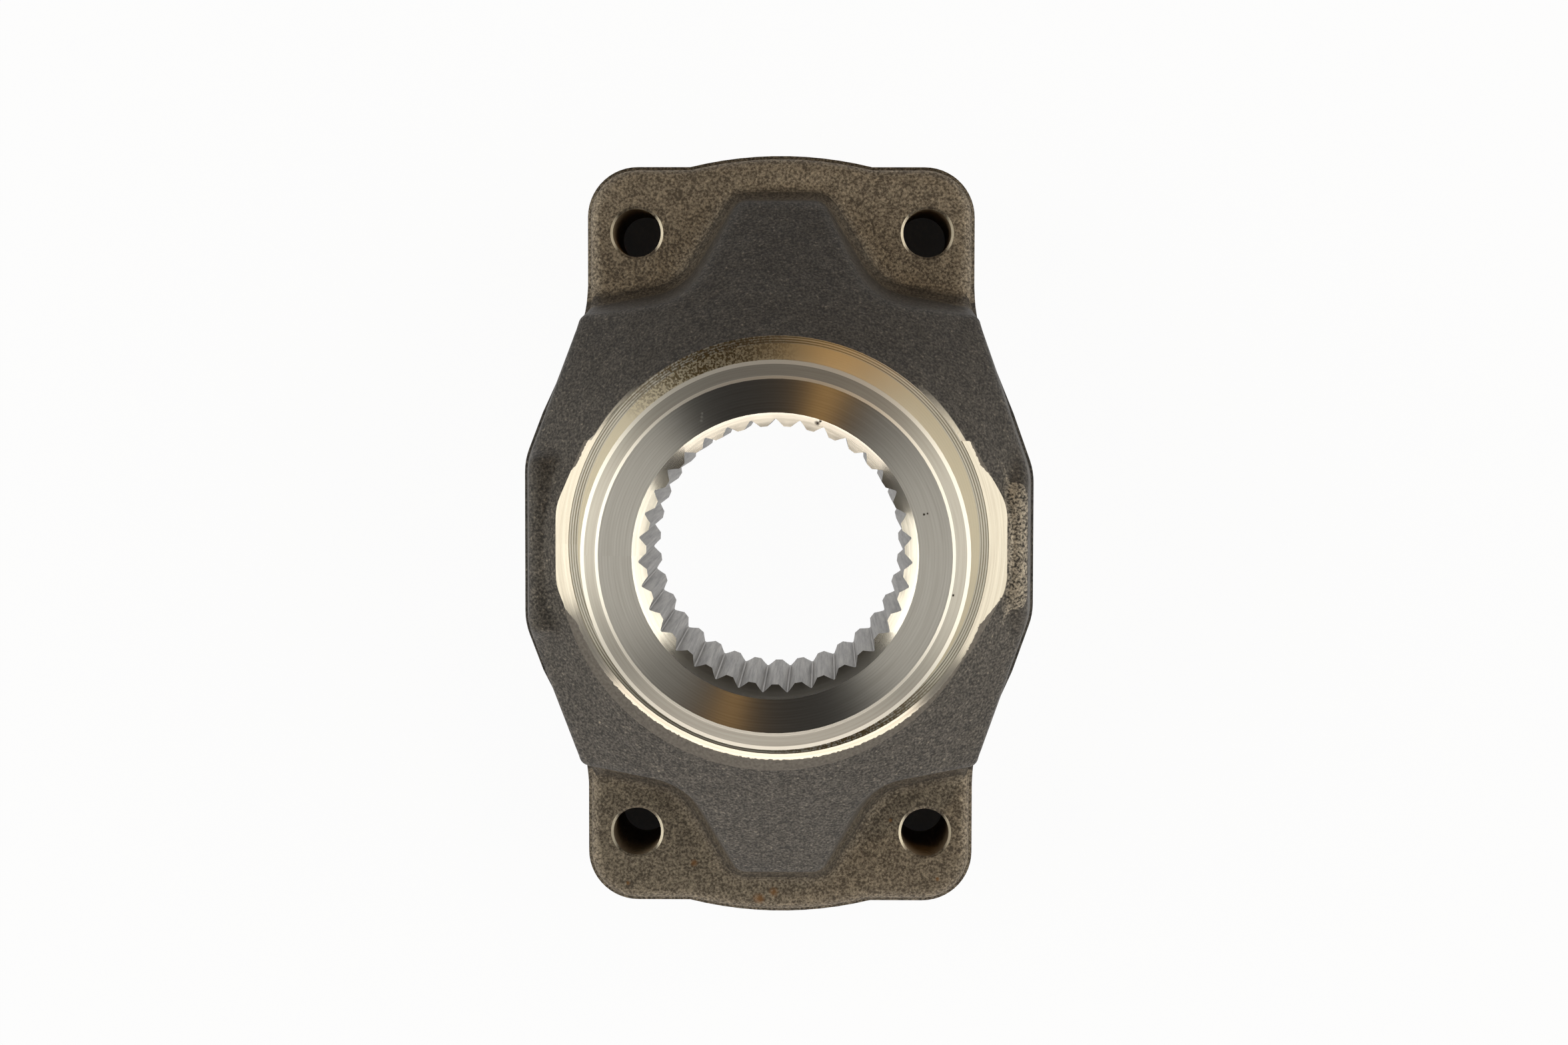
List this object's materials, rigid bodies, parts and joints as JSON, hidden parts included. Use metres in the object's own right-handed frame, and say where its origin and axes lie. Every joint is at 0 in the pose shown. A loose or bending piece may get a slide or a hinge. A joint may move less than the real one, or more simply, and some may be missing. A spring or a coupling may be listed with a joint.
{
  "type": "forged yoke",
  "caption": "Half-round end yoke of a drive shaft: a steel forging with a turned hub, a splined bore and a bearing seat in each ear.",
  "frame": {"origin": "on the hub axis, in the plane of the ear end faces, where the axis of the bearing caps crosses it", "axes": "+Z along the hub axis from the ears to the hub's end, +Y along the axis of the bearing caps, +X across the ears"},
  "size_m": [0.118, 0.1823, 0.122],
  "materials": {
    "forged_steel": "as forged, dark scale, with bright machined faces"
  },
  "bodies": {
    "root": {"yoke": "forged_steel"}
  },
  "joints": []
}
